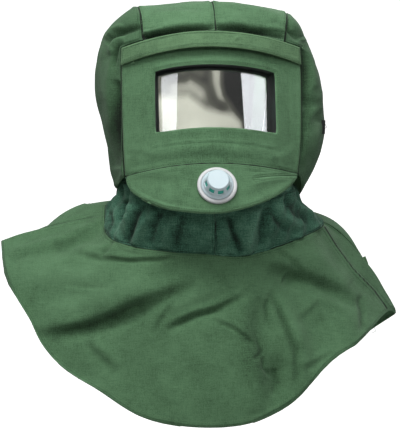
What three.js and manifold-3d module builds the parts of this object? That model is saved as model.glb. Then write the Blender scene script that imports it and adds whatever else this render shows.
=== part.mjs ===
// Sandblasting hood: a canvas hood with a framed clear window, a breathing valve in the chin,
// a gathered neck and a shoulder cape. Millimetres, +Z up, the face looks along -Y.
// The origin is under the inside top of the crown, where the hood rests on the wearer's head.
import * as THREE from "three";
import { mergeVertices } from "three/addons/utils/BufferGeometryUtils.js";
import Module from "manifold-3d";

// Overall sizes
const headWidth = 350;
const headDepth = 330;
const crownDrop = 56;
const panelHeight = 194;
const chinHeight = 71;
const neckWidth = 350;
const neckDepth = 263;
const neckHeight = 56;
const neckFlare = 1.6;
const capeWidth = 606;
const capeDepth = 380;
const capeDrop = 240;

// Cloth and seams
const cloth = 1.6;
const seamGap = 0.9;
const foldGap = 1.7;
const browGap = 2.6;
const layerGap = 0.4;
const foldDepth = 10;
const gatherDepth = 5;

// Window, its frame and the lens
const windowWidth = 176;
const windowHeight = 94;
const windowSideShift = 4;
const windowDrop = 49;
const windowCorner = 5;
const recess = 13;
const frameWall = 3;
const frameLip = 4;
const lipThickness = 2;
const rearLip = 3;
const lensThickness = 2;
const fit = 0.3;

// Brow flap, chin and lining
const flapHeight = 26;
const flapLift = 8;
const flapInset = 2;
const chinSlope = 0.42;
const liningStandOff = 11;
const tabWidth = 13;
const tabLength = 10;

// Breathing valve
const valveDiameter = 56;
const valveDrop = 33;
const flangeThickness = 4;
const capDiameter = 45;
const capTopDiameter = 27;
const capHeight = 19;
const capWall = 2.2;
const throatLip = 2;
const slotCount = 8;
const slotWidth = 5;
const slotHeight = 6;
const membraneThickness = 2;

// Worked out from the sizes above
const headHeight = crownDrop + panelHeight + chinHeight;
const neckSeamZ = -headHeight - neckHeight;
const flangeRadius = valveDiameter / 2;
const capRadius = capDiameter / 2;
const capTopRadius = capTopDiameter / 2;

// Names the columns of a table of rows.
function table(columns, rows) {
  const names = columns.split(" ");
  return rows.map((row) => Object.fromEntries(names.map((name, index) => [name, row[index]])));
}

// Each row of the face panel is one course across it: how far down it lies, where its middle and its
// ends are (shares of the head's depth), how far its ends drop (shares of the head's height), and how
// far they reach (shares of the head's width).
const facePanel = table("down centreY edgeY leftDrop rightDrop left right", [
  [0, -0.367, -0.242, 0.065, 0.053, 0.369, 0.377],
  [0.25, -0.406, -0.264, 0.062, 0.053, 0.369, 0.379],
  [0.5, -0.445, -0.288, 0.059, 0.05, 0.367, 0.376],
  [0.75, -0.485, -0.315, 0.056, 0.044, 0.364, 0.369],
  [1, -0.521, -0.345, 0.05, 0.034, 0.357, 0.354],
]);

// The chin's lower edge: how much of the chin's height is left at each share of the way across.
const chinEdge = table("at height", [
  [-1, 0.04],
  [-0.95, 0.32],
  [-0.8, 0.58],
  [-0.6, 0.81],
  [-0.3, 0.95],
  [0, 1],
  [0.37, 0.84],
  [0.69, 0.58],
  [0.88, 0.32],
  [1, 0.06],
]);

// The crown band's seams, from the brow over the top and down the back: where each seam point lies,
// and the band's middle beside it. The right seam sags a little lower over the top.
const crownBand = table("y left leftZ right rightZ centreY centreZ", [
  [-0.295, -0.28, -0.211, 0.306, -0.211, -0.367, -0.174],
  [-0.275, -0.286, -0.135, 0.316, -0.141, -0.321, -0.09],
  [-0.212, -0.291, -0.072, 0.33, -0.085, -0.23, -0.028],
  [-0.106, -0.297, -0.031, 0.34, -0.049, -0.112, -0.003],
  [0.015, -0.3, -0.025, 0.34, -0.044, 0.015, 0.003],
  [0.136, -0.3, -0.05, 0.336, -0.066, 0.142, -0.022],
  [0.242, -0.297, -0.112, 0.33, -0.122, 0.267, -0.081],
  [0.318, -0.294, -0.217, 0.32, -0.221, 0.352, -0.193],
  [0.358, -0.291, -0.357, 0.314, -0.357, 0.397, -0.348],
  [0.358, -0.28, -0.512, 0.3, -0.512, 0.397, -0.512],
  [0.333, -0.263, -0.637, 0.28, -0.637, 0.367, -0.637],
  [0.297, -0.24, -0.752, 0.257, -0.752, 0.324, -0.752],
  [0.282, -0.223, -0.828, 0.24, -0.828, 0.303, -0.822],
]);

// Courses of the side panels from the neck up: the widest point on each side, and where the course
// ends on the crown band's seam behind and, from the brow up, in front.
const sidePanel = table("leftX leftY leftZ rightX rightY rightZ back front", [
  [-0.383, -0.015, -0.865, 0.403, 0, -0.895, 12, 0],
  [-0.41, 0.015, -0.73, 0.471, 0.015, -0.761, 11, 0],
  [-0.437, 0.03, -0.59, 0.509, 0.03, -0.637, 10, 0],
  [-0.457, 0.03, -0.466, 0.523, 0.03, -0.512, 9, 0],
  [-0.471, 0.03, -0.357, 0.506, 0.03, -0.388, 8, 0],
  [-0.467, 0.03, -0.264, 0.474, 0.03, -0.28, 7.4, 0],
  [-0.453, 0.024, -0.193, 0.454, 0.024, -0.202, 6.9, 0],
  [-0.434, 0.015, -0.137, 0.431, 0.015, -0.146, 6.4, 0],
  [-0.397, 0.006, -0.093, 0.409, 0.006, -0.106, 5.9, 0.9],
  [-0.349, 0, -0.053, 0.38, 0, -0.071, 5.4, 1.8],
  [-0.299, -0.006, -0.026, 0.337, -0.006, -0.028, 4.8, 2.8],
]);
const faceCourses = 5;
const browCourse = 7;

// The neck's upper and lower rims, once round from the middle of the front by way of the left. The
// lower rim is the seam that the cape hangs from.
const neckRims = table("at topX topY topZ x y drop", [
  [0, -0.009, -0.57, -0.953, 0.003, -0.544, 1],
  [0.07, -0.171, -0.509, -0.944, -0.171, -0.513, 0.95],
  [0.14, -0.297, -0.394, -0.903, -0.334, -0.426, 0.79],
  [0.21, -0.345, -0.227, -0.84, -0.42, -0.228, 0.52],
  [0.27, -0.35, -0.03, -0.82, -0.428, 0.019, 0.03],
  [0.34, -0.3, 0.14, -0.805, -0.4, 0.236, -0.5],
  [0.42, -0.16, 0.235, -0.79, -0.229, 0.399, -0.58],
  [0.5, 0.009, 0.2945, -0.79, 0.009, 0.456, -0.5],
  [0.58, 0.18, 0.235, -0.795, 0.251, 0.411, -0.4],
  [0.66, 0.31, 0.15, -0.82, 0.451, 0.274, -0.3],
  [0.73, 0.358, -0.024, -0.845, 0.502, 0.091, 0.05],
  [0.8, 0.35, -0.227, -0.855, 0.491, -0.114, 0.25],
  [0.87, 0.303, -0.394, -0.897, 0.326, -0.399, 0.68],
  [0.94, 0.16, -0.509, -0.941, 0.129, -0.525, 1.04],
  [1, -0.009, -0.57, -0.953, 0.003, -0.544, 1],
]);
const leftShoulder = 0.28;
const rightShoulder = 0.73;

// The cape's front hem from the left shoulder tip to the right, and how its fall is shaped there:
// 1 falls straight, more lies flat on the shoulder first.
const frontHem = table("at x y drop fall", [
  [0, -0.5, 0.039, -0.088, 1.4],
  [0.06, -0.488, -0.118, 0.117, 1.3],
  [0.12, -0.462, -0.197, 0.246, 1.2],
  [0.19, -0.427, -0.25, 0.387, 1.15],
  [0.26, -0.399, -0.295, 0.529, 1.1],
  [0.33, -0.348, -0.347, 0.667, 1.05],
  [0.41, -0.261, -0.4, 0.8, 1],
  [0.48, -0.175, -0.447, 0.937, 1],
  [0.55, -0.066, -0.487, 0.996, 1],
  [0.62, 0.053, -0.482, 0.992, 1],
  [0.68, 0.122, -0.463, 0.937, 1],
  [0.74, 0.185, -0.437, 0.85, 1],
  [0.8, 0.238, -0.4, 0.717, 1],
  [0.85, 0.282, -0.368, 0.612, 0.95],
  [0.9, 0.36, -0.276, 0.512, 1],
  [0.95, 0.455, 0.013, 0.342, 1.3],
  [1, 0.492, 0.118, 0.367, 1.6],
]);

// The back hem, from the right shoulder tip round to the left.
const backHem = table("at x y drop fall", [
  [0, 0.492, 0.118, 0.367, 1.6],
  [0.1, 0.44, 0.263, 0.49, 3],
  [0.22, 0.372, 0.374, 0.658, 2.4],
  [0.36, 0.215, 0.46, 0.846, 1.7],
  [0.5, 0.017, 0.5, 0.929, 1.6],
  [0.64, -0.182, 0.479, 0.867, 1.7],
  [0.78, -0.338, 0.395, 0.638, 2.2],
  [0.9, -0.456, 0.25, 0.304, 3.3],
  [1, -0.5, 0.039, -0.088, 1.4],
]);

// Folds in the cape's front: from one point to another (shares of the cape's width across and of its
// drop down from the neck seam), half width (share of the width), and height (share of a fold's depth;
// less than nothing is a valley).
const capeFolds = table("x1 z1 x2 z2 width height", [
  [-0.24, -0.2, -0.35, -0.08, 0.03, -1.1],
  [-0.35, -0.08, -0.47, 0.01, 0.03, -0.9],
  [-0.33, -0.03, -0.24, -0.06, 0.022, 0.8],
  [-0.32, -0.04, -0.19, 0.03, 0.02, -0.7],
  [-0.19, 0.03, -0.1, 0.01, 0.02, -0.5],
  [-0.36, 0.41, -0.18, 0.25, 0.03, 0.8],
  [-0.35, 0.47, -0.18, 0.31, 0.022, -0.8],
  [-0.1, 0.42, 0.04, 0.24, 0.022, -0.5],
  [0.14, 0.09, 0.2, 0.15, 0.026, -0.9],
  [0.2, 0.15, 0.32, 0.25, 0.026, -0.9],
  [0.13, 0.23, 0.12, 0.42, 0.018, -0.5],
  [0.14, 0.69, 0.145, 0.8, 0.022, -0.8],
  [0.19, 0.48, 0.19, 0.74, 0.024, 0.8],
]);

// Gathers of the neck: where round it each lies at the top and at the bottom, how wide it is in
// turns, and its height as a share of a gather's depth.
const neckFolds = table("top bottom width height", [
  [0.12, 0.15, 0.012, 1.2],
  [0.1, 0.13, 0.01, -1],
  [0.06, 0.07, 0.012, 0.8],
  [0.03, 0.02, 0.01, -0.6],
  [0.985, 0.955, 0.01, -0.9],
  [0.93, 0.95, 0.01, -0.9],
  [0.89, 0.83, 0.014, 1],
  [0.86, 0.8, 0.012, -0.8],
  [0.75, 0.75, 0.014, 0.8],
  [0.66, 0.66, 0.014, -0.8],
  [0.58, 0.58, 0.014, 0.8],
  [0.5, 0.5, 0.014, -0.8],
  [0.42, 0.42, 0.014, 0.8],
  [0.34, 0.34, 0.014, -0.8],
  [0.26, 0.24, 0.014, 0.8],
  [0.18, 0.2, 0.014, -0.8],
]);

// Smooth curve through one column of a table, at a row number that may lie between rows.
function smooth(rows, column, rowNumber) {
  const last = rows.length - 1;
  const start = Math.min(Math.max(Math.floor(rowNumber), 0), last - 1);
  const here = rows[start][column];
  const next = rows[start + 1][column];
  const before = start > 0 ? rows[start - 1][column] : 2 * here - next;
  const after = start + 2 <= last ? rows[start + 2][column] : 2 * next - here;
  const t = rowNumber - start;
  if (t < 0) return here + (next - here) * t;
  if (t > 1) return next + (next - here) * (t - 1);
  const slopeHere = (next - before) / 2;
  const slopeNext = (after - here) / 2;
  const gain = next - here;
  return here + t * (slopeHere + t * (3 * gain - 2 * slopeHere - slopeNext
    + t * (slopeHere + slopeNext - 2 * gain)));
}

// The row number at which a table's first column reaches a value.
function rowAt(rows, column, value) {
  let start = 0;
  while (start < rows.length - 2 && rows[start + 1][column] < value) start += 1;
  const from = rows[start][column];
  return start + (value - from) / (rows[start + 1][column] - from);
}

function lerp(a, b, t) {
  return a + (b - a) * t;
}

// The face, x across it and down from its top edge, set out from its surface by a distance.
function facePoint(x, down) {
  const row = (down / panelHeight) * (facePanel.length - 1);
  const reach = smooth(facePanel, x < 0 ? "left" : "right", row) * headWidth;
  const share = Math.abs(x) / reach;
  const y = lerp(smooth(facePanel, "centreY", row), smooth(facePanel, "edgeY", row), share ** 2.1);
  const drop = smooth(facePanel, x < 0 ? "leftDrop" : "rightDrop", row) * share * share;
  return new THREE.Vector3(x, y * headDepth, -crownDrop - down - drop * headHeight);
}

function faceReach(side, down) {
  const row = (down / panelHeight) * (facePanel.length - 1);
  return smooth(facePanel, side, row) * headWidth;
}

// The unit normal of a surface given by a function of two lengths.
function normalAt(place, a, b, stepA = 0.5, stepB = stepA) {
  const alongA = place(a + stepA, b).sub(place(a - stepA, b));
  const alongB = place(a, b + stepB).sub(place(a, b - stepB));
  return alongA.cross(alongB).normalize();
}

function faceOut(x, down, out) {
  return facePoint(x, down).addScaledVector(normalAt(facePoint, x, down), -out);
}

// The chin hangs from the face's lower edge and leans forward as it goes down.
function chinPoint(x, below) {
  const top = facePoint(x, panelHeight);
  return top.add(new THREE.Vector3(0, -chinSlope * below, -below));
}

function chinOut(x, below, out) {
  return chinPoint(x, below).addScaledVector(normalAt(chinPoint, x, below), -out);
}

function chinDepthAt(x) {
  const reach = faceReach(x < 0 ? "left" : "right", panelHeight);
  return smooth(chinEdge, "height", rowAt(chinEdge, "at", x / reach)) * chinHeight;
}

// The crown band starts on the face panel's top edge.
function fromFace(point, row) {
  return facePoint(point.x, 0).lerp(point, THREE.MathUtils.smoothstep(row, 0, 1));
}

// A point of the crown band's seam on one side, at a row number of its table.
function crownSeam(side, row) {
  return fromFace(new THREE.Vector3(
    smooth(crownBand, side, row) * headWidth,
    smooth(crownBand, "y", row) * headDepth,
    smooth(crownBand, `${side}Z`, row) * headHeight,
  ), row);
}

const crownRows = crownBand.length - 1;
const bandMiddle = 0.012;

// The crown band, from its seam (0) to its middle (1), along its rows.
function crownPoint(side, inward, row) {
  const seam = crownSeam(side, row);
  const rise = 1 - (1 - inward) ** 2;
  return fromFace(new THREE.Vector3(
    lerp(seam.x, bandMiddle * headWidth, inward),
    lerp(seam.y, smooth(crownBand, "centreY", row) * headDepth, rise),
    lerp(seam.z, smooth(crownBand, "centreZ", row) * headHeight, rise),
  ), row);
}

// Where a side panel's course starts in front: down the face's edge, along its top, up the crown.
function sideFront(side, course) {
  const sign = side === "left" ? -1 : 1;
  if (course <= faceCourses) {
    const down = panelHeight * (1 - course / faceCourses);
    return facePoint(sign * faceReach(side, down), down);
  }
  if (course <= browCourse) {
    const share = (course - faceCourses) / (browCourse - faceCourses);
    const corner = faceReach(side, 0);
    const seam = Math.abs(crownSeam(side, 0).x);
    return facePoint(sign * lerp(corner, seam, share), 0);
  }
  return crownSeam(side, smooth(sidePanel, "front", course));
}

// A side panel bulges from its front edge to its widest point and round to the crown's back seam.
function sidePoint(side, along, up) {
  const course = up * (sidePanel.length - 1);
  const front = sideFront(side, course);
  const back = crownSeam(side, smooth(sidePanel, "back", course));
  const widest = new THREE.Vector3(
    smooth(sidePanel, `${side}X`, course) * headWidth,
    smooth(sidePanel, `${side}Y`, course) * headDepth,
    smooth(sidePanel, `${side}Z`, course) * headHeight,
  );
  const end = along < 0.5 ? front : back;
  const turn = Math.abs(along - 0.5) * Math.PI;
  const point = new THREE.Vector3(
    lerp(end.x, widest.x, Math.cos(turn) ** 1.15),
    lerp(widest.y, end.y, Math.sin(turn)),
    lerp(widest.z, end.z, Math.sin(turn) ** 2),
  );
  const ontoSeam = THREE.MathUtils.smoothstep(up, 0.8, 1);
  const backRow = smooth(sidePanel, "back", course);
  const frontRow = smooth(sidePanel, "front", course);
  return point.lerp(crownSeam(side, lerp(frontRow, backRow, along)), ontoSeam);
}

// A ridge or valley across a distance: 1 on its line, fading out to each side.
function swell(distance, width) {
  return Math.exp(-((distance / width) ** 2));
}

// Both rims of the neck, 0 at the top and 1 at the cape seam.
function neckPoint(turn, down) {
  const wrapped = turn - Math.floor(turn);
  const row = rowAt(neckRims, "at", wrapped);
  const top = new THREE.Vector3(
    smooth(neckRims, "topX", row) * headWidth,
    smooth(neckRims, "topY", row) * headDepth,
    smooth(neckRims, "topZ", row) * headHeight,
  );
  const seam = neckSeam(wrapped);
  const flare = Math.max(down, 0) ** neckFlare;
  return new THREE.Vector3(lerp(top.x, seam.x, flare), lerp(top.y, seam.y, flare), lerp(top.z, seam.z, down));
}

function neckSeam(turn) {
  const row = rowAt(neckRims, "at", turn - Math.floor(turn));
  return new THREE.Vector3(
    smooth(neckRims, "x", row) * neckWidth,
    smooth(neckRims, "y", row) * neckDepth,
    -headHeight - smooth(neckRims, "drop", row) * neckHeight,
  );
}

function neckCloth(turn, down) {
  let height = 0;
  for (const fold of neckFolds) {
    const middle = lerp(fold.top, fold.bottom, down);
    const distance = Math.abs(((turn - middle + 1.5) % 1) - 0.5);
    height += fold.height * swell(distance, fold.width);
  }
  const fade = Math.sin(Math.PI * Math.min(Math.max(down, 0), 1));
  const normal = normalAt(neckPoint, turn, down, 0.004, 0.02);
  return neckPoint(turn, down).addScaledVector(normal, gatherDepth * height * fade);
}

// The cape from the neck seam (0) to its hem (1); the neck's turn and the hem's row go together.
function capeHang(hem, turn, share, down) {
  const row = rowAt(hem, "at", share);
  const top = neckSeam(turn);
  const foot = new THREE.Vector3(
    smooth(hem, "x", row) * capeWidth,
    smooth(hem, "y", row) * capeDepth,
    neckSeamZ - smooth(hem, "drop", row) * capeDrop,
  );
  const fall = Math.max(down, 0) ** smooth(hem, "fall", row);
  return new THREE.Vector3(lerp(top.x, foot.x, down), lerp(top.y, foot.y, down), lerp(top.z, foot.z, fall));
}

function capeFrontBase(share, down) {
  return capeHang(frontHem, lerp(leftShoulder, rightShoulder - 1, share), share, down);
}

function capeBackBase(share, down) {
  return capeHang(backHem, lerp(rightShoulder, leftShoulder, share), share, down);
}

function distanceToFold(x, z, fold) {
  const run = new THREE.Vector2((fold.x2 - fold.x1) * capeWidth, (fold.z2 - fold.z1) * capeDrop);
  const to = new THREE.Vector2(x - fold.x1 * capeWidth, z - fold.z1 * capeDrop);
  const along = Math.min(Math.max(to.dot(run) / run.lengthSq(), 0), 1);
  return to.addScaledVector(run, -along).length();
}

function capeFrontCloth(share, down) {
  const base = capeFrontBase(share, down);
  let height = 0;
  for (const fold of capeFolds) {
    const distance = distanceToFold(base.x, neckSeamZ - base.z, fold);
    height += fold.height * swell(distance, fold.width * capeWidth);
  }
  const fade = Math.min(1, 6 * down) * Math.min(1, 8 * share) * Math.min(1, 8 * (1 - share));
  const normal = normalAt(capeFrontBase, share, Math.max(down, 0.03), 0.01, 0.02);
  return base.addScaledVector(normal, -foldDepth * height * fade);
}

// Slow waves round the back of the cape, deepest at its hem.
function capeBackCloth(share, down) {
  const base = capeBackBase(share, down);
  const fade = Math.sin(Math.PI * share) * down;
  const wave = Math.cos(share * Math.PI * 9) * foldDepth * 0.5;
  const normal = normalAt(capeBackBase, share, Math.max(down, 0.03), 0.01, 0.02);
  return base.addScaledVector(normal, -wave * fade);
}

// The light lining hangs a little inside the crown band's back, with two slack folds.
function liningPoint(across, along) {
  const row = lerp(3, crownRows - 1.4, along);
  const side = across < 0.5 ? "left" : "right";
  const inward = 1 - Math.abs(across - 0.5) * 1.7;
  const shell = crownPoint(side, inward, row);
  const slack = Math.sin(Math.PI * along) ** 0.6;
  const folds = 0.35 * Math.sin(across * 11 + along * 4) + 0.25 * Math.sin(across * 5 - along * 9);
  const centre = new THREE.Vector3(bandMiddle * headWidth, 0, -0.45 * headHeight);
  const inwards = centre.sub(shell).normalize();
  return shell.addScaledVector(inwards, cloth + 3 * layerGap + liningStandOff * slack * (1 + folds));
}

// Closes a geometry's shared vertices and turns its faces outward.
function closed(geometry) {
  geometry.deleteAttribute("normal");
  geometry.deleteAttribute("uv");
  const merged = mergeVertices(geometry, 1e-3);
  const index = merged.index.array;
  const kept = [];
  for (let i = 0; i < index.length; i += 3) {
    const [a, b, c] = [index[i], index[i + 1], index[i + 2]];
    if (a !== b && b !== c && c !== a) kept.push(a, b, c);
  }
  merged.setIndex(kept);
  if (volumeOf(merged) < 0) {
    for (let i = 0; i < kept.length; i += 3) [kept[i + 1], kept[i + 2]] = [kept[i + 2], kept[i + 1]];
    merged.setIndex(kept);
  }
  merged.computeVertexNormals();
  return merged;
}

function volumeOf(geometry) {
  const position = geometry.attributes.position;
  const index = geometry.index.array;
  const corner = [new THREE.Vector3(), new THREE.Vector3(), new THREE.Vector3()];
  let volume = 0;
  for (let i = 0; i < index.length; i += 3) {
    corner.forEach((point, k) => point.fromBufferAttribute(position, index[i + k]));
    volume += corner[0].dot(corner[1].clone().cross(corner[2])) / 6;
  }
  return volume;
}

// The share of a course at which it has run a real distance from its start.
function shareAfter(point, distance) {
  const step = 0.002;
  let share = 0;
  let here = point(0);
  let left = distance;
  while (left > 0 && share < 0.4) {
    const next = point(share + step);
    const run = next.distanceTo(here);
    if (run >= left) return share + (step * left) / run;
    left -= run;
    here = next;
    share += step;
  }
  return share;
}

// A sheet of cloth over a surface given by two shares; its edges stay back from the seams by half a
// gap each, in the order of start and end across, start and end down.
function clothSheet(columns, rows, place, edges, thickness = cloth) {
  const geometry = new THREE.BoxGeometry(1, 1, 1, columns, rows, 1);
  const position = geometry.attributes.position;
  const [startU, endU, startV, endV] = edges;
  const drawn = (u, v) => {
    const fromU = shareAfter((t) => place(t, v), startU);
    const toU = 1 - shareAfter((t) => place(1 - t, v), endU);
    const fromV = shareAfter((t) => place(u, t), startV);
    const toV = 1 - shareAfter((t) => place(u, 1 - t), endV);
    return [lerp(fromU, toU, u), lerp(fromV, toV, v)];
  };
  for (let i = 0; i < position.count; i += 1) {
    const [u, v] = drawn(position.getX(i) + 0.5, 0.5 - position.getY(i));
    const side = position.getZ(i) > 0 ? 0.5 : -0.5;
    const step = 0.004;
    const inU = Math.min(Math.max(u, step), 1 - step);
    const inV = Math.min(Math.max(v, step), 1 - step);
    const normal = normalAt(place, inU, inV, step);
    const point = place(u, v).addScaledVector(normal, side * thickness);
    position.setXYZ(i, point.x, point.y, point.z);
  }
  return closed(geometry);
}

// A closed ring: a section loop carried round, where point(turn, corner) gives each corner.
function ring(around, corners, point) {
  const geometry = new THREE.TorusGeometry(1, 0.4, corners, around);
  const position = geometry.attributes.position;
  for (let i = 0; i < position.count; i += 1) {
    const turn = (i % (around + 1)) % around;
    const corner = Math.floor(i / (around + 1)) % corners;
    const place = point(turn / around, corner);
    position.setXYZ(i, place.x, place.y, place.z);
  }
  return closed(geometry);
}

// A ring of cloth from an inner outline to an outer one; out(a, b, distance) sets it off its surface.
function clothRing(around, rows, inner, outer, out) {
  return ring(around, 2 * rows + 2, (turn, corner) => {
    const isFace = corner <= rows;
    const share = isFace ? corner / rows : (2 * rows + 1 - corner) / rows;
    const place = inner(turn).lerp(outer(turn), share);
    return out(place.x, place.y, isFace ? cloth / 2 : -cloth / 2);
  });
}

// A point of a rectangle's outline with clipped corners; sides hold equal shares of the turn.
function rectanglePoint(turn, left, right, top, bottom, corner) {
  const side = Math.floor(turn * 4 + 1e-9) % 4;
  const share = turn * 4 - Math.floor(turn * 4 + 1e-9);
  const ends = [
    [left, top, right, top],
    [right, top, right, bottom],
    [right, bottom, left, bottom],
    [left, bottom, left, top],
  ][side];
  const point = new THREE.Vector2(lerp(ends[0], ends[2], share), lerp(ends[1], ends[3], share));
  if (share < 1e-6) {
    const clip = corner * (1 - Math.SQRT1_2);
    point.x += Math.sign((left + right) / 2 - point.x) * clip;
    point.y += Math.sign((top + bottom) / 2 - point.y) * clip;
  }
  return point;
}

// The window's outline, grown outward by a distance.
function windowOutline(turn, grow) {
  const middle = windowSideShift;
  const half = windowWidth / 2 + grow;
  const top = windowDrop - grow;
  const bottom = windowDrop + windowHeight + grow;
  return rectanglePoint(turn, middle - half, middle + half, top, bottom, windowCorner + Math.max(grow, 0));
}

// The face panel's outline, drawn in from its seams.
function panelOutline(turn) {
  const draw = seamGap / 2;
  const point = rectanglePoint(turn, -1, 1, draw, panelHeight - draw, 0);
  const reach = faceReach(point.x < 0 ? "left" : "right", point.y) - draw;
  return new THREE.Vector2(point.x * reach, point.y);
}

// The chin's outline: half the turn along the seam above, half along its lower edge.
function chinOutline(turn) {
  const draw = seamGap / 2;
  const angle = turn * 2 * Math.PI;
  const across = -Math.cos(angle);
  const reach = faceReach(across < 0 ? "left" : "right", panelHeight) - 3 * draw;
  const x = across * reach;
  const below = Math.sin(angle) > 0 ? draw : Math.max(chinDepthAt(x), 4 * draw);
  return new THREE.Vector2(x, below);
}

// The round hole in the chin that the valve breathes through.
function valveOutline(turn) {
  const angle = turn * 2 * Math.PI;
  return new THREE.Vector2(-Math.cos(angle) * capRadius, valveDrop - Math.sin(angle) * capRadius);
}

function material(color, roughness, metalness = 0) {
  return new THREE.MeshStandardMaterial({ color, roughness, metalness, side: THREE.DoubleSide });
}

const canvas = material(0x567958, 0.9);
const flapCanvas = material(0x668a66, 0.9);
const neckCanvas = material(0x233a2d, 0.95);
const liningCloth = material(0xccc9be, 0.95);
const frameRubber = material(0x1b2220, 0.6);
const clearLens = material(0xe8ecec, 0.08);
const valvePlastic = material(0xcedede, 0.35);
const flangePlastic = material(0xb2b2b1, 0.45);
const valveRubber = material(0x2f8f94, 0.5);

const hood = new THREE.Group();

function add(name, geometry, finish, parent = hood) {
  const mesh = new THREE.Mesh(geometry, finish);
  mesh.name = name;
  parent.add(mesh);
  return mesh;
}

// Head: face panel, chin, crown band in two halves, side panels
const half = seamGap / 2;
const foldHalf = foldGap / 2;
const browHalf = browGap / 2;
add("front_panel", clothRing(48, 3, (turn) => windowOutline(turn, 0), panelOutline, faceOut), canvas);
add("chin_panel", clothRing(40, 3, valveOutline, chinOutline, chinOut), canvas);
for (const side of ["left", "right"]) {
  const band = (inward, along) => crownPoint(side, inward, along * crownRows);
  add(`crown_${side}`, clothSheet(6, 24, band, [browHalf, half, half, half]), canvas);
  const panel = (along, up) => sidePoint(side, along, up);
  add(`side_${side}`, clothSheet(11, 20, panel, [browHalf, half, half, browHalf]), canvas);
}

// Neck in two halves, gathered under the head
const neckLeft = (along, down) => neckCloth(0.5 * along, down);
const neckRight = (along, down) => neckCloth(1 - 0.5 * along, down);
add("neck_left", clothSheet(30, 5, neckLeft, [half, half, 0, foldHalf]), neckCanvas);
add("neck_right", clothSheet(30, 5, neckRight, [half, half, 0, foldHalf]), neckCanvas);

// Cape, front and back, meeting on the shoulders
add("cape_front", clothSheet(36, 12, capeFrontCloth, [foldHalf, foldHalf, foldHalf, 0]), canvas);
add("cape_back", clothSheet(26, 8, capeBackCloth, [foldHalf, foldHalf, foldHalf, 0]), canvas);

// Brow flap, sewn along its top edge and standing off below
function flapPoint(across, share) {
  const reachLeft = faceReach("left", 0) - flapInset;
  const reachRight = faceReach("right", 0) - flapInset;
  const x = lerp(-reachLeft, reachRight, across);
  const lift = flapLift * share * Math.sin(Math.PI * lerp(0.08, 0.92, across));
  const lap = cloth + layerGap + lift;
  return faceOut(x, share * flapHeight + flapInset, lap);
}
add("brow_flap", clothSheet(18, 3, flapPoint, [0, 0, 0, 0]), flapCanvas);

// Light lining seen through the window
add("back_lining", clothSheet(12, 9, liningPoint, [0, 0, 0, 0]), liningCloth);

// Window frame: a channel behind the face panel that holds the lens between two lips
const frameFront = cloth / 2 + layerGap;
const lensFront = recess + lipThickness + fit;
const lensBack = lensFront + lensThickness;
const frameSection = [
  [fit + frameWall, frameFront],
  [fit + frameWall, lensBack + fit + lipThickness],
  [-rearLip, lensBack + fit + lipThickness],
  [-rearLip, lensBack + fit],
  [fit, lensBack + fit],
  [fit, recess + lipThickness],
  [-frameLip, recess + lipThickness],
  [-frameLip, recess],
  [fit, recess],
  [fit, frameFront],
];
add("lens_frame", ring(48, frameSection.length, (turn, corner) => {
  const [grow, depth] = frameSection[corner];
  const place = windowOutline(turn, grow);
  return faceOut(place.x, place.y, -depth);
}), frameRubber);

// The lens, curved as the face is
function lensPoint(across, share) {
  const x = windowSideShift + (across - 0.5) * windowWidth;
  return faceOut(x, windowDrop + share * windowHeight, -(lensFront + lensThickness / 2));
}
const lensEdge = windowCorner * (1 - Math.SQRT1_2) + 2 * fit;
add("lens", clothSheet(12, 3, lensPoint, Array(4).fill(lensEdge), lensThickness), clearLens);

// Breathing valve on the chin, built along its own +Z axis
const wasm = await Module();
wasm.setup();

function solidOf(geometry) {
  const merged = closed(geometry);
  return new wasm.Manifold(new wasm.Mesh({
    numProp: 3,
    vertProperties: Float32Array.from(merged.attributes.position.array),
    triVerts: Uint32Array.from(merged.index.array),
  }));
}

function geometryOf(solid) {
  const mesh = solid.getMesh();
  const geometry = new THREE.BufferGeometry();
  geometry.setAttribute("position", new THREE.BufferAttribute(mesh.vertProperties, 3));
  geometry.setIndex(new THREE.BufferAttribute(mesh.triVerts, 1));
  geometry.computeVertexNormals();
  return geometry;
}

function turned(profile, segments) {
  const points = profile.map(([radius, height]) => new THREE.Vector2(radius, height));
  points.push(points[0].clone());
  return new THREE.LatheGeometry(points, segments).rotateX(Math.PI / 2);
}

const valve = new THREE.Group();
const valveOut = normalAt(chinPoint, 0, valveDrop).negate();
valve.position.copy(chinPoint(0, valveDrop)).addScaledVector(valveOut, cloth / 2 + layerGap + valveSeat());
valve.quaternion.setFromUnitVectors(new THREE.Vector3(0, 0, 1), valveOut);
hood.add(valve);

// The chin is curved across, so the flat flange stands clear of the cloth by the chin's rise there.
function valveSeat() {
  const middle = chinPoint(0, valveDrop);
  const normal = normalAt(chinPoint, 0, valveDrop).negate();
  const edge = chinPoint(capRadius, valveDrop).sub(middle).dot(normal);
  return Math.max(edge, 0);
}

const throat = capRadius - capWall - throatLip;
add("valve_flange", closed(turned([
  [throat, 0],
  [flangeRadius, 0],
  [flangeRadius, flangeThickness * 0.6],
  [flangeRadius - flangeThickness * 0.4, flangeThickness],
  [capRadius + fit, flangeThickness],
  [capRadius + fit, flangeThickness / 2],
  [throat, flangeThickness / 2],
], 36)), flangePlastic, valve);

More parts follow.
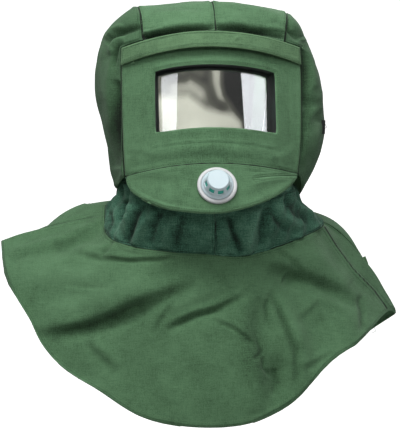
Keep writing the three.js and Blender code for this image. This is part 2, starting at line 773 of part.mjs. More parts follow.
// The cap is a hollow dome with slots round its side for the breath
const capFoot = flangeThickness / 2 + fit;
const capTop = capFoot + capHeight;
const capBody = solidOf(turned([
  [capRadius, capFoot],
  [capRadius, capFoot + capHeight * 0.45],
  [capRadius * 0.9, capFoot + capHeight * 0.72],
  [capTopRadius + capWall, capTop - capWall * 0.6],
  [capTopRadius, capTop],
  [0, capTop],
  [0, capTop - capWall],
  [capTopRadius, capTop - capWall],
  [capRadius * 0.9 - capWall, capFoot + capHeight * 0.66],
  [capRadius - capWall, capFoot + capHeight * 0.42],
  [capRadius - capWall, capFoot],
], 36));
let slotted = capBody;
for (let i = 0; i < slotCount; i += 1) {
  const slot = new THREE.BoxGeometry(3 * capWall, slotWidth, slotHeight);
  slot.translate(capRadius - capWall / 2, 0, capFoot + capHeight * 0.3);
  slot.rotateZ(((i + 0.5) * 2 * Math.PI) / slotCount);
  slotted = slotted.subtract(solidOf(slot));
}
add("valve_cap", geometryOf(slotted), valvePlastic, valve);

// The membrane is a soft disc that lies on the flange's floor inside the cap
const membraneRadius = capRadius - capWall - 2 * fit;
add("valve_membrane", closed(turned([
  [0, flangeThickness / 2 + fit],
  [membraneRadius, flangeThickness / 2 + fit],
  [membraneRadius, flangeThickness / 2 + fit + membraneThickness / 2],
  [0, flangeThickness / 2 + fit + membraneThickness],
], 28)), valveRubber, valve);

// A small cloth tab stands up from the right shoulder, beside the seam
const tabPlace = { along: 0.06, down: 0.72 };
function tabPoint(across, share) {
  const { along, down } = tabPlace;
  const base = capeBackCloth(along, down);
  const out = normalAt(capeBackBase, along, down, 0.01, 0.02).negate();
  const course = capeBackCloth(along, down + 0.05).sub(capeBackCloth(along, down - 0.05)).normalize();
  return base.addScaledVector(course, (across - 0.5) * tabWidth)
    .addScaledVector(out, share * tabLength);
}
add("side_tab", clothSheet(3, 3, tabPoint, [0, 0, 0, 0]), flapCanvas);

export default hood;
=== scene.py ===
import bpy
import bmesh
import math
import numpy as np
from mathutils import Matrix, Vector, noise
from mathutils.bvhtree import BVHTree
from mathutils.kdtree import KDTree


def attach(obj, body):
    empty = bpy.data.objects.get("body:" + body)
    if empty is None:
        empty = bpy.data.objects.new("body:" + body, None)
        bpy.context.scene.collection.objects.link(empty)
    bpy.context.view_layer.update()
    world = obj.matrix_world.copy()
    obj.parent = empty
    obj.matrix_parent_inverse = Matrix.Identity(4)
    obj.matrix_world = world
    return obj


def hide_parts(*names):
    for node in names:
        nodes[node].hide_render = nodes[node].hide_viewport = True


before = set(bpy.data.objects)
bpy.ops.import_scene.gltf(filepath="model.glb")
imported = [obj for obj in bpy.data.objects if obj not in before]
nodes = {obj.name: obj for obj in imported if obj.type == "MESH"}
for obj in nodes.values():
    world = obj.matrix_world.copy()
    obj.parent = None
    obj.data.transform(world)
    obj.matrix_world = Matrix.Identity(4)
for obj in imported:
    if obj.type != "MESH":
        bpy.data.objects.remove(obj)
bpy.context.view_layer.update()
scene = bpy.context.scene
print("frame loaded")


# selection and mesh helpers

def onlySelect(*things):
    bpy.ops.object.select_all(action="DESELECT")
    for thing in things:
        thing.select_set(True)
    bpy.context.view_layer.objects.active = things[-1]


def coordinates(mesh):
    flat = np.empty(len(mesh.vertices) * 3)
    mesh.vertices.foreach_get("co", flat)
    return flat.reshape(-1, 3)


def normalsOf(mesh):
    flat = np.empty(len(mesh.vertices) * 3)
    mesh.vertices.foreach_get("normal", flat)
    return flat.reshape(-1, 3)


def placeVertices(mesh, points):
    mesh.vertices.foreach_set("co", points.ravel())
    mesh.update()


def searchTree(mesh):
    return BVHTree.FromPolygons([v.co for v in mesh.vertices], [p.vertices for p in mesh.polygons])


def copyOfNode(nodeName, pieceName):
    piece = nodes[nodeName].copy()
    piece.data = nodes[nodeName].data.copy()
    piece.name = pieceName
    piece.parent = None
    for key in list(piece.keys()):
        if key.startswith("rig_"):
            del piece[key]
    piece.data.materials.clear()
    scene.collection.objects.link(piece)
    onlySelect(piece)
    bpy.ops.object.mode_set(mode="EDIT")
    bpy.ops.mesh.select_all(action="SELECT")
    bpy.ops.mesh.remove_doubles(threshold=0.00002)
    bpy.ops.mesh.tris_convert_to_quads(face_threshold=1.2, shape_threshold=1.2)
    bpy.ops.object.mode_set(mode="OBJECT")
    return piece


# The cut edge of a cloth wall is its ring of narrow faces, as thick as the cloth.
def edgeFaces(mesh, thickness):
    narrow = []
    for face in mesh.polygons:
        points = [mesh.vertices[i].co for i in face.vertices]
        sides = [(points[k] - points[k - 1]).length for k in range(len(points))]
        if min(sides) < thickness * 1.15 and len(points) == 4:
            narrow.append(face)
    return narrow


clothBuild = dict(
    thickness=0.0016,   # cloth wall in the CAD model
    crease=0.85,        # how sharp the cut edges stay when the cloth is smoothed
)


def growEdges(mesh, grow):
    outward = {}
    for face in edgeFaces(mesh, clothBuild["thickness"]):
        for i in face.vertices:
            outward[i] = outward.get(i, Vector()) + face.normal
    for i, direction in outward.items():
        mesh.vertices[i].co += direction.normalized() * grow


def smoothCloth(piece, levels, crease):
    mesh = bmesh.new()
    mesh.from_mesh(piece.data)
    layer = mesh.edges.layers.float.get("crease_edge") or mesh.edges.layers.float.new("crease_edge")
    for edge in mesh.edges:
        if len(edge.link_faces) == 2 and edge.calc_face_angle(0) > math.radians(50):
            edge[layer] = crease
    mesh.to_mesh(piece.data)
    mesh.free()
    onlySelect(piece)
    smoother = piece.modifiers.new("smooth", "SUBSURF")
    smoother.levels = levels
    smoother.render_levels = levels
    bpy.ops.object.modifier_apply(modifier="smooth")
    bpy.ops.object.shade_smooth()


# Pixels of the 400 by 429 photograph, seen by the camera below.
photoView = dict(
    azimuth=-5, elevation=-2, distance=2.5, metresPerPixel=0.0015,
    target=(-0.0075, 0, -0.31575), centre=(200, 214.5), width=400, height=429,
)


def cameraAxes():
    a, e = math.radians(photoView["azimuth"]), math.radians(photoView["elevation"])
    back = Vector((math.sin(a) * math.cos(e), -math.cos(a) * math.cos(e), math.sin(e)))
    right = (-back).cross(Vector((0, 0, 1))).normalized()
    up = right.cross(-back)
    eye = Vector(photoView["target"]) + back * photoView["distance"]
    return eye, right, up, back


def photoRay(pixel):
    eye, right, up, back = cameraAxes()
    perPixel = photoView["metresPerPixel"] / photoView["distance"]
    across = (pixel[0] - photoView["centre"][0]) * perPixel
    rise = (photoView["centre"][1] - pixel[1]) * perPixel
    return eye, (right * across + up * rise - back).normalized()


def toPhoto(points):
    eye, right, up, back = (np.array(v) for v in cameraAxes())
    reach = points - eye
    perPixel = -(reach @ back) * photoView["metresPerPixel"] / photoView["distance"]
    x = photoView["centre"][0] + (reach @ right) / perPixel
    y = photoView["centre"][1] - (reach @ up) / perPixel
    return np.stack([x, y], axis=1)


# How far points lie from a broken line, to its left (more than 0) or right, and the share run along it.
def lineReach(points, line):
    line = np.array(line, dtype=float)
    runs = np.diff(line, axis=0)
    lengths = np.linalg.norm(runs, axis=1)
    total = lengths.sum()
    away = np.full(len(points), 1e9)
    side = np.zeros(len(points))
    share = np.zeros(len(points))
    done = 0
    for start, run, length in zip(line[:-1], runs, lengths):
        reach = points - start
        t = np.clip((reach @ run) / length ** 2, 0, 1)
        distance = np.linalg.norm(reach - t[:, None] * run, axis=1)
        nearer = distance < away
        away = np.where(nearer, distance, away)
        cross = (run[1] * reach[:, 0] - run[0] * reach[:, 1]) / length
        side = np.where(nearer, cross, side)
        share = np.where(nearer, (done + t * length) / total, share)
        done += length
    return away, side, share


# Each fold is its half width in pixels, the height of its ridge in millimetres (a valley is less than 0),
# how much it drops from the left of its line to the right in millimetres, and the line in photo pixels.
# The tone is painted shade: creases and steps darker, and ridges a little lighter as painted highlights.
paintedFoldShade = dict(crease=-0.1, ridge=0.05, step=-0.028)   # for each millimetre


def foldHeights(points, folds):
    seen = toPhoto(points)
    height = np.zeros(len(points))
    tone = np.zeros(len(points))
    for width, ridge, drop, *line in folds:
        away, side, share = lineReach(seen, line)
        swell = np.exp(-(away / width) ** 2) * np.sqrt(4 * share * (1 - share))
        height += swell * (ridge + drop * side / width) / 1000
        depth = paintedFoldShade["crease"] if ridge < 0 else paintedFoldShade["ridge"]
        tone += swell * (depth * abs(ridge) + paintedFoldShade["step"] * abs(drop))
    return height, tone


def cloudHeights(points, size, height, seed, stretch=(1, 1, 1)):
    offset = Vector((seed * 3.1, seed * 7.7, seed * 1.3))
    scaled = points / size / np.array(stretch)
    return np.array([noise.noise(Vector(p) + offset) for p in scaled]) * height


# Points along the middle of the cloth's cut edge, close enough together to measure from.
def rimPoints(mesh, step=0.0012):
    points = []
    for face in edgeFaces(mesh, clothBuild["thickness"]):
        corners = [mesh.vertices[i].co for i in face.vertices]
        lengths = [(corners[k] - corners[k - 1]).length for k in range(4)]
        k = lengths.index(max(lengths))
        start = (corners[k - 1] + corners[(k + 2) % 4]) / 2
        end = (corners[k] + corners[(k + 1) % 4]) / 2
        count = max(1, int((end - start).length / step))
        points += [start.lerp(end, i / count) for i in range(count + 1)]
    return points


def nearest(points, targets):
    tree = KDTree(len(targets))
    for i, target in enumerate(targets):
        tree.insert(target, i)
    tree.balance()
    found = [tree.find(point) for point in points]
    return np.array([f[1] for f in found]), np.array([f[2] for f in found])


# materials: shader maths as plain expressions

class Wire:
    def __init__(self, tree, socket):
        self.tree = tree
        self.socket = socket

    def math(self, operation, other=0.0, swap=False):
        node = self.tree.nodes.new("ShaderNodeMath")
        node.operation = operation
        pair = [other, self] if swap else [self, other]
        for slot, value in zip(node.inputs, pair):
            if isinstance(value, Wire):
                self.tree.links.new(value.socket, slot)
            else:
                slot.default_value = value
        return Wire(self.tree, node.outputs[0])

    def __add__(self, other):
        return self.math("ADD", other)

    def __radd__(self, other):
        return self.math("ADD", other, True)

    def __sub__(self, other):
        return self.math("SUBTRACT", other)

    def __rsub__(self, other):
        return self.math("SUBTRACT", other, True)

    def __mul__(self, other):
        return self.math("MULTIPLY", other)

    def __rmul__(self, other):
        return self.math("MULTIPLY", other, True)

    def __truediv__(self, other):
        return self.math("DIVIDE", other)

    def sine(self):
        return self.math("SINE")

    def size(self):
        return self.math("ABSOLUTE")

    def atLeast(self, other):
        return self.math("MAXIMUM", other)

    def atMost(self, other):
        return self.math("MINIMUM", other)


class Finish:
    def __init__(self, name):
        self.material = bpy.data.materials.new(name)
        self.material.use_nodes = True
        self.tree = self.material.node_tree
        self.tree.nodes.clear()

    def node(self, kind, settings=None, sockets=None, output=0):
        made = self.tree.nodes.new(kind)
        for key, value in (settings or {}).items():
            if key == "stops":
                ramp = made.color_ramp
                while len(ramp.elements) < len(value):
                    ramp.elements.new(0.5)
                for stop, (place, color) in zip(ramp.elements, value):
                    stop.position = place
                    stop.color = color
            else:
                setattr(made, key, value)
        for key, value in (sockets or {}).items():
            if isinstance(value, Wire):
                self.tree.links.new(value.socket, made.inputs[key])
            else:
                made.inputs[key].default_value = value
        return Wire(self.tree, made.outputs[output])

    def object(self):
        return self.node("ShaderNodeTexCoord", output="Object")

    def attribute(self, name):
        return self.node("ShaderNodeAttribute", {"attribute_name": name}, output="Fac")

    def split(self, vector):
        made = self.tree.nodes.new("ShaderNodeSeparateXYZ")
        self.tree.links.new(vector.socket, made.inputs[0])
        return Wire(self.tree, made.outputs[0]), Wire(self.tree, made.outputs[1])

    def stretched(self, vector, scale):
        return self.node("ShaderNodeMapping", None, {"Vector": vector, "Scale": scale})

    def noise(self, vector, scale, detail=3, roughness=0.55, seed=0.0):
        return self.node("ShaderNodeTexNoise", {"noise_dimensions": "4D"}, {
            "Vector": vector, "W": seed, "Scale": scale, "Detail": detail, "Roughness": roughness})

    def mix(self, factor, a, b, mode="MIX"):
        made = self.tree.nodes.new("ShaderNodeMix")
        made.data_type = "RGBA"
        made.blend_type = mode
        for key, value in ((0, factor), (6, a), (7, b)):
            if isinstance(value, Wire):
                self.tree.links.new(value.socket, made.inputs[key])
            else:
                made.inputs[key].default_value = value
        return Wire(self.tree, made.outputs[2])

    def blend(self, factor, first, second):
        made = self.tree.nodes.new("ShaderNodeMixShader")
        for slot, wire in zip(made.inputs, (factor, first, second)):
            self.tree.links.new(wire.socket, slot)
        return self.surface(Wire(self.tree, made.outputs[0]))

    def surface(self, shader):
        output = self.tree.nodes.new("ShaderNodeOutputMaterial")
        self.tree.links.new(shader.socket, output.inputs["Surface"])
        return self.material


def rgba(red, green, blue):
    def linear(v):
        v = v / 255
        return v / 12.92 if v <= 0.04045 else ((v + 0.055) / 1.055) ** 2.4
    return (linear(red), linear(green), linear(blue), 1.0)


canvasLook = dict(
    threads=1250,           # threads to a metre
    relief=0.00022,         # how deep the weave and the seams' grooves are, in metres
    seamWidth=0.0014,       # half width of the dark line where two pieces meet
    sewnRow=0.0035,         # how far a row of stitches lies from a seam
    rowWidth=0.0009,        # half width of that row's groove
    roughness=0.92,
)


def canvasFinish(name, light, main, dark, seed=0.0):
    finish = Finish(name)
    uv = finish.node("ShaderNodeUVMap", {"uv_map": "weave"})
    place = finish.object()
    across, along = finish.split(uv)
    turn = 2 * math.pi * canvasLook["threads"]
    wander = finish.noise(place, 60, 2, seed=seed + 3) * 0.9
    threads = (across * turn + wander).sine() * 0.3 + (along * turn + wander).sine() * 0.3
    threads = threads + (across * (turn / 2)).sine() * (along * (turn / 2)).sine() * 0.4
    cloud = finish.noise(place, 9, 4, seed=seed)
    patch = finish.noise(place, 42, 4, 0.6, seed=seed + 1)
    fleck = finish.noise(place, 620, 2, 0.7, seed=seed + 2)
    streakUp = finish.noise(finish.stretched(uv, (900, 60, 1)), 1, 2, 0.6, seed=seed + 5)
    streakOver = finish.noise(finish.stretched(uv, (60, 900, 1)), 1, 2, 0.6, seed=seed + 6)
    # tint carries the painted shade of creases and steps and the painted highlights of ridges.
    rim, tint, joined = finish.attribute("rim"), finish.attribute("tint"), finish.attribute("joined")
    # The dark line where two pieces meet and the darker rows of stitches are painted shade in their grooves.
    seamLine = 1.0 - (rim / canvasLook["seamWidth"]).atMost(1.0)
    row = 1.0 - ((rim - canvasLook["sewnRow"]).size() / canvasLook["rowWidth"]).atMost(1.0)
    edgeTone = seamLine * ((1.0 - joined) * patch * 1.8 - joined * 2.3)
    tone = (cloud - 0.5) * 0.9 + (patch - 0.5) * 0.9 + (fleck - 0.5) * 1.5 + threads * 0.1
    tone = tone + (streakUp - 0.5) * 0.8 + (streakOver - 0.5) * 1.0 + tint + edgeTone - row * 0.35
    shade = finish.node("ShaderNodeValToRGB", {"stops": [
        (0.0, rgba(*[c * 0.3 for c in dark])), (0.3, rgba(*dark)), (0.5, rgba(*main)), (1.0, rgba(*light))]},
        {"Fac": tone * 0.4 + 0.5})
    rough = (patch - 0.5) * 0.1 + canvasLook["roughness"]
    height = threads + fleck * 0.9 + streakUp * 0.6 + streakOver * 0.8 - seamLine * 4.0 - row * 1.6
    bump = finish.node("ShaderNodeBump", None, {
        "Height": height, "Distance": canvasLook["relief"], "Strength": 0.75})
    shader = finish.node("ShaderNodeBsdfPrincipled", None, {
        "Base Color": shade, "Roughness": rough, "Normal": bump, "Specular IOR Level": 0.2,
        "Sheen Weight": 0.08, "Sheen Roughness": 0.5, "Sheen Tint": (0.75, 0.9, 0.76, 1)})
    return finish.surface(shader)


# The lining's tone is painted by an attribute: 0 in the deepest fold, 1 where the lamps reach it.
def liningFinish():
    finish = Finish("liningCloth")
    place = finish.object()
    lit = finish.attribute("lit")
    patch = finish.noise(place, 40, 4, 0.6, seed=12)
    fleck = finish.noise(place, 900, 2, 0.6, seed=13)
    tone = lit + (patch - 0.5) * 0.12 + (fleck - 0.5) * 0.06
    shade = finish.node("ShaderNodeValToRGB", {"stops": [
        (0.0, rgba(12, 12, 11)), (0.45, rgba(84, 83, 75)), (1.0, rgba(222, 219, 206))]}, {"Fac": tone})
    bump = finish.node("ShaderNodeBump", None, {
        "Height": fleck + patch, "Distance": 0.0004, "Strength": 0.5})
    return finish.surface(finish.node("ShaderNodeBsdfPrincipled", None, {
        "Base Color": shade, "Roughness": (patch - 0.5) * 0.1 + 0.9, "Normal": bump,
        "Specular IOR Level": 0.2}))


# Each face takes its weave's coordinates from the two axes that it faces least.
def weaveCoordinates(piece):
    mesh = piece.data
    layer = mesh.uv_layers.new(name="weave")
    points = coordinates(mesh)
    loops = len(mesh.loops)
    vertexOf = np.empty(loops, dtype=np.int32)
    mesh.loops.foreach_get("vertex_index", vertexOf)
    normals = np.empty(len(mesh.polygons) * 3)
    mesh.polygons.foreach_get("normal", normals)
    normals = np.abs(normals.reshape(-1, 3)) * np.array([1, 1.3, 1])
    totals = np.empty(len(mesh.polygons), dtype=np.int32)
    mesh.polygons.foreach_get("loop_total", totals)
    facing = np.repeat(normals.argmax(axis=1), totals)
    place = points[vertexOf]
    uv = np.where((facing == 0)[:, None], place[:, [1, 2]],
                  np.where((facing == 1)[:, None], place[:, [0, 2]], place[:, [0, 1]]))
    layer.data.foreach_set("uv", uv.ravel())


canvas = canvasFinish("greenCanvas", (102, 138, 104), (78, 112, 80), (58, 86, 60))
capeCanvas = canvasFinish("capeCanvas", (100, 136, 102), (74, 107, 76), (54, 82, 56), seed=2)
flapCanvas = canvasFinish("flapCanvas", (106, 138, 101), (80, 110, 78), (58, 84, 58), seed=4)
# A darker copy of the canvas for the side panels: painted shade where the sides turn from the light.
shadedSideCanvas = canvasFinish("shadedSideCanvas", (92, 126, 94), (66, 96, 68), (46, 72, 48), seed=6)
neckCanvas = canvasFinish("neckCanvas", (118, 160, 134), (54, 94, 75), (20, 42, 32), seed=8)
liningCloth = liningFinish()
print("cloth finishes ready")


# cloth pieces, each from the wall that the CAD model gives it

seamShape = dict(
    grooveWidth=0.0016,
    puffAt=0.005,           # where the cloth swells most beside a seam
    puffWidth=0.0035,
    rowDepth=0.00035,       # how deep the stitches pull the cloth in
    rowWidth=0.0008,
)


def seamRelief(distance, seam):
    groove = -seam["groove"] * np.exp(-(distance / seamShape["grooveWidth"]) ** 2)
    puff = seam["puff"] * np.exp(-((distance - seamShape["puffAt"]) / seamShape["puffWidth"]) ** 2)
    relief = groove + puff
    for row in seam["rows"]:
        relief -= seamShape["rowDepth"] * np.exp(-((distance - row) / seamShape["rowWidth"]) ** 2)
    return relief


# From the middle of the hood outward; the cape's cloth faces up and out.
def outsideOf(points):
    reach = points - np.array([0.0, 0.0, -0.2])
    reach[points[:, 2] < -0.3, 2] = 0.12
    return reach / np.linalg.norm(reach, axis=1)[:, None]


# The way the cloth faces at each point, the same for both its sides and its cut edge.
def clothDirections(mesh):
    points, normals = coordinates(mesh), normalsOf(mesh)
    turned = np.einsum("ij,ij->i", normals, outsideOf(points))
    isWall = np.abs(turned) > 0.25
    direction = normals * np.sign(turned)[:, None]
    index, _ = nearest(points[~isWall], points[isWall])
    direction[~isWall] = direction[isWall][index]
    return direction, turned > 0.25


# The lining seen through the window: a light dune below, grey folds above, a dark hollow at the right.
liningLines = dict(
    dune=((140, 97), (176, 96), (188, 95), (197, 102), (206, 109), (222, 113), (232, 115), (241, 122),
          (247, 150)),
    hollow=((222, 60), (222, 85), (224, 95), (231, 104), (240, 118), (247, 150)),
    darkFold=((205, 62), (208, 84), (214, 99), (222, 107)),
    lightFold=((216, 60), (217, 84), (220, 98)),
    darkCorner=((168, 76), (184, 78), (190, 74), (202, 80)),
    lightCorner=((176, 90), (190, 86), (200, 94)),
)


def liningLight(points):
    seen = toPhoto(points)

    def near(name, width):
        away, _, _ = lineReach(seen, liningLines[name])
        return np.exp(-(away / width) ** 2)

    def leftOf(name, soft):
        _, side, _ = lineReach(seen, liningLines[name])
        return np.clip(side / soft * 0.5 + 0.5, 0, 1)

    dune = 1 - leftOf("dune", 4)
    hollow = leftOf("hollow", 3)
    upper = 0.5 - 0.26 * near("darkFold", 4.5) + 0.2 * near("lightFold", 5) - 0.3 * near("darkCorner", 4.5)
    upper = upper + 0.2 * near("lightCorner", 6)
    upper = upper * (1 - hollow)
    return dune * 0.95 + (1 - dune) * upper


# Depth of the groove at the edge, height of the swelling, rows of stitches, and a line of painted shade in
# the seam or none.
plainSeam = dict(groove=0.0009, puff=0.0008, rows=(0.0035,), line=1)
hemSeam = dict(groove=0.0, puff=0.0006, rows=(0.008,), line=1)
flapSeam = dict(groove=0.0, puff=0.0003, rows=(0.0045,), line=0)
cloths = {}
walls = {}
for clothNode in ("front_panel", "chin_panel", "crown_left", "crown_right", "side_left", "side_right",
                  "neck_left", "neck_right", "cape_front", "cape_back", "brow_flap", "side_tab"):
    walls[clothNode] = searchTree(nodes[clothNode].data)


# 1 for the points of a piece's rim that lie along another piece, 0 for a free hem.
def joinedPoints(rim, ownNode, reach=0.003):
    others = [tree for key, tree in walls.items() if key != ownNode]
    return np.array([any(tree.find_nearest(p, reach)[0] is not None for tree in others) for p in rim])


def makeCloth(name, node, finish, slot, sheet, levels=3, grow=0.0006, seam=plainSeam, folds=(), clouds=(),
              thicken=0.0, crease=clothBuild["crease"], rimBand=0.004, seamLines=()):
    piece = copyOfNode(node, name)
    growEdges(piece.data, grow)
    rim = rimPoints(piece.data)
    isJoined = joinedPoints(rim, node)
    smoothCloth(piece, levels, crease)
    mesh = piece.data
    points = coordinates(mesh)
    direction, isOuter = clothDirections(mesh)
    rimIndex, distance = nearest(points, rim)
    back = np.array(cameraAxes()[3])
    facing = np.clip((direction @ back) * 4, 0, 1)
    isSeam = isJoined[rimIndex] * seam["line"]
    seen = toPhoto(points)
    for line in seamLines:
        away = lineReach(seen, line)[0] * photoView["metresPerPixel"]
        away = np.where(facing > 0.3, away, 1)
        isSeam = np.where(away < distance, 1, isSeam)
        distance = np.minimum(distance, away)
    height, tone = foldHeights(points, folds)
    height = height * facing
    tone = tone * facing
    for cloud in clouds:
        height = height + cloudHeights(points, *cloud)
    height = height * np.clip(distance / rimBand, 0, 1)
    relief = height + seamRelief(distance, seam)
    relief = relief + isOuter * thicken * np.clip(distance / 0.003, 0, 1)
    placeVertices(mesh, points + direction * relief[:, None])
    weaveCoordinates(piece)
    # Without folds, hollows in the cloth are painted darker and bumps lighter, as painted shade and
    # highlight.
    tone = tone + (height * 1000 / 25 if not folds else 0)
    # The tint attribute holds the painted shade and painted highlights of the folds.
    for attribute, values in (("rim", distance), ("tint", tone), ("joined", isSeam),
                              ("lit", liningLight(points))):
        mesh.attributes.new(attribute, "FLOAT", "POINT").data.foreach_set("value", values.astype(np.float32))
    mesh.materials.append(finish)
    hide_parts(node)
    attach(piece, "root")
    cloths[name] = dict(piece=piece, distance=distance, isOuter=isOuter)
    area = sum(face.area for face in mesh.polygons) / 2
    print(name, len(mesh.polygons), "faces", round(area, 4), "m2", round(isJoined.mean(), 2), "joined")
    return piece


facePanel = dict(
    finish=canvas, slot="canvas",
    sheet=dict(flat=(0.268, 0.205), held="stretched", rests_on=["lens_frame"], area=0.0419),
    clouds=[(0.05, 0.0012, 1), (0.018, 0.0004, 21)],
    folds=[
        (1.4, -0.8, 0, (141, 60), (142.3, 110), (142.3, 157)),
        (1.2, -0.5, 0, (144.5, 60), (145.5, 110), (145.5, 150)),
        (1.4, -0.8, 0, (288, 61), (289, 110), (289.5, 150)),
        (1.2, -0.5, 0, (285, 61), (286, 110), (286, 148)),
        (1.3, 0, 2.2, (150, 150), (156, 146.5), (186, 143), (218, 141.5), (250, 144), (286, 150.5)),
        (9, 0, 4, (124, 166), (160, 158), (214, 153), (262, 160), (298, 170)),
        (4, 0, 1.5, (126, 152), (140, 152), (158, 158)),
        (6, 1.5, 0, (122, 70), (124, 120), (124, 172)),
        (6, 1.5, 0, (299, 66), (301, 120), (300, 172)),
        (5, 0, 1.4, (300, 140), (284, 152), (262, 158)),
    ],
)
makeCloth("facePanel", "front_panel", **facePanel)

chinPanel = dict(
    finish=canvas, slot="canvas",
    sheet=dict(flat=(0.26, 0.086), held="stretched", rests_on=["facePanel"], area=0.0151),
    clouds=[(0.04, 0.001, 2)],
    folds=[
        (1.6, -0.7, 0, (127, 178), (142, 191), (161, 200.5), (186, 207), (218, 210), (250, 205), (280, 192),
         (294, 183)),
        (2.2, 1.2, 0, (124, 186), (142, 197), (165, 206), (199, 212), (235, 211), (270, 199), (294, 187)),
        (8, 0, 2.5, (140, 178), (170, 178), (196, 172)),
        (6, 0, 2, (240, 196), (262, 186), (284, 180)),
        (5, 1.5, 0, (176, 172), (181, 188), (179, 202)),
    ],
)
makeCloth("chinPanel", "chin_panel", **chinPanel)

crownLeft = dict(
    finish=canvas, slot="canvas",
    sheet=dict(flat=(0.11, 0.56), held="draped", rests_on=["facePanel", "crownRight"], area=0.0529),
    clouds=[(0.06, 0.003, 3), (0.025, 0.001, 23)],
    folds=[
        (5, 0, 6, (112, 40), (149, 34), (178, 28), (214, 26)),
        (3, -11, 0, (114, 45), (135, 40), (155, 34.5), (178, 30), (218, 27)),
        (2.2, 3, 0, (124, 38), (140, 33.5), (162, 29)),
        (1.8, -2.5, 0, (126, 35), (142, 30.5), (164, 26)),
        (5, 0, -2.6, (150, 12), (175, 9), (205, 10)),
        (7, 1.6, 0, (160, 20), (182, 15), (206, 17)),
    ],
)
makeCloth("crownLeft", "crown_left", **crownLeft)

crownRight = dict(
    finish=canvas, slot="canvas",
    sheet=dict(flat=(0.12, 0.56), held="draped", rests_on=["facePanel", "crownLeft"], area=0.0533),
    clouds=[(0.06, 0.003, 4), (0.025, 0.001, 24)],
    folds=[
        (5, 0, 5, (208, 26), (245, 27), (285, 34)),
        (2.8, -9, 0, (204, 27.5), (244, 29), (266, 32.5), (302, 42)),
        (1.8, 2.5, 0, (258, 31), (278, 35), (298, 42)),
        (1.6, -2.5, 0, (258, 28), (278, 31), (298, 37)),
        (7, 1.5, 0, (218, 16), (245, 12), (276, 18)),
        (4, 0, 2.2, (222, 8), (250, 9), (280, 17)),
        (3, -1.2, 0, (262, 24), (276, 22), (286, 24)),
    ],
)
makeCloth("crownRight", "crown_right", **crownRight)

sideLeft = dict(
    finish=shadedSideCanvas, slot="canvas",
    sheet=dict(flat=(0.28, 0.33), held="draped", rests_on=["facePanel", "crownLeft"], area=0.0666),
    clouds=[(0.07, 0.005, 5), (0.03, 0.0018, 6)],
    folds=[
        (3, -7, 0, (144, 27), (126, 31), (118, 34), (111, 38), (107, 45)),
        (2.6, 5, 0, (124, 26), (113, 31), (105, 38)),
        (2.6, 5, 0, (124, 37), (116, 40), (111, 46), (109, 54)),
        (2, -5, 0, (124, 43), (118, 46), (114, 56), (112, 68)),
        (5, -13, 0, (118, 80), (115, 108), (115, 134), (117.5, 168)),
        (4, 0, -6, (114, 50), (110, 80), (113, 120), (116, 160)),
        (6, 3.5, 0, (103, 60), (104, 90), (109, 130), (114, 165)),
        (3.5, -2.5, 0, (117, 46), (118, 70), (118, 90)),
        (8, 0, -3, (104, 48), (98, 66), (97, 90)),
        (4, -2, 0, (104, 100), (107, 120), (109, 150)),
    ],
)
makeCloth("sideLeft", "side_left", **sideLeft)

sideRight = dict(
    finish=shadedSideCanvas, slot="canvas",
    sheet=dict(flat=(0.28, 0.33), held="draped", rests_on=["facePanel", "crownRight"], area=0.0689),
    clouds=[(0.07, 0.005, 7), (0.03, 0.0018, 8)],
    folds=[
        (2.6, -6, 0, (285, 16), (291, 30), (299, 40)),
        (2.6, 3, 0, (290, 14), (296, 24), (302, 36)),
        (4, -7, 0, (304, 40), (305, 60), (305, 84), (305, 108)),
        (5, 4, 0, (305, 36), (311, 60), (313, 84), (311, 100)),
        (9, -4, 0, (304, 44), (303, 80), (302, 120), (300, 170)),
        (4.5, 0, 7, (322, 103), (312, 110), (305, 122), (303, 140), (302, 166)),
        (7, 5, 0, (318, 122), (313, 138), (311, 158)),
        (5, 0, 4, (318, 88), (314, 100), (309, 112)),
        (4, -3, 0, (302, 160), (300, 178), (299, 196)),
        (4, 2.5, 0, (309, 156), (305, 176), (300, 194)),
    ],
)
makeCloth("sideRight", "side_right", **sideRight)

neckLeft = dict(
    finish=neckCanvas, slot="neck_canvas",
    sheet=dict(flat=(0.45, 0.11), held="gathered", rests_on=["chinPanel", "sideLeft"], area=0.0353),
    grow=0.0011,
    clouds=[(0.02, 0.007, 9, (1, 1, 3)), (0.012, 0.0016, 29)],
    folds=[
        (3, -8, 0, (124, 200), (127, 212), (121, 222)),
        (4, 6, 0, (134, 205), (126, 222), (116, 238)),
        (3, -6, 0, (142, 204), (134, 222), (126, 246)),
        (4.5, 6, 0, (155, 208), (143, 224), (134, 246)),
        (3, -4, 0, (160, 212), (154, 228), (150, 246)),
        (5, 3.5, 0, (176, 214), (167, 232), (164, 250)),
        (4, -4, 0, (184, 216), (178, 234), (176, 250)),
        (2.5, 3, 0, (116, 206), (118, 222), (110, 236)),
        (2.5, -4, 0, (112, 212), (112, 226), (107, 236)),
    ],
)
makeCloth("neckLeft", "neck_left", **neckLeft)

neckRight = dict(
    finish=neckCanvas, slot="neck_canvas",
    sheet=dict(flat=(0.45, 0.11), held="gathered", rests_on=["chinPanel", "sideRight"], area=0.0379),
    grow=0.0011,
    clouds=[(0.02, 0.007, 10, (1, 1, 3)), (0.012, 0.0016, 30)],
    folds=[
        (5, 3, 0, (206, 218), (203, 236), (202, 252)),
        (4, -3, 0, (216, 218), (214, 236), (216, 252)),
        (3, -6, 0, (229, 216), (235, 236), (241, 253)),
        (4, 6.5, 0, (259, 208), (251, 230), (245, 251)),
        (4, -5, 0, (266, 208), (262, 230), (262, 248)),
        (4, 5, 0, (276, 200), (284, 216), (300, 228)),
        (3, -4, 0, (268, 206), (276, 222), (290, 234)),
        (3, -4, 0, (286, 198), (294, 212), (310, 223)),
        (2.5, 4, 0, (292, 196), (300, 208), (318, 218)),
    ],
)
makeCloth("neckRight", "neck_right", **neckRight)

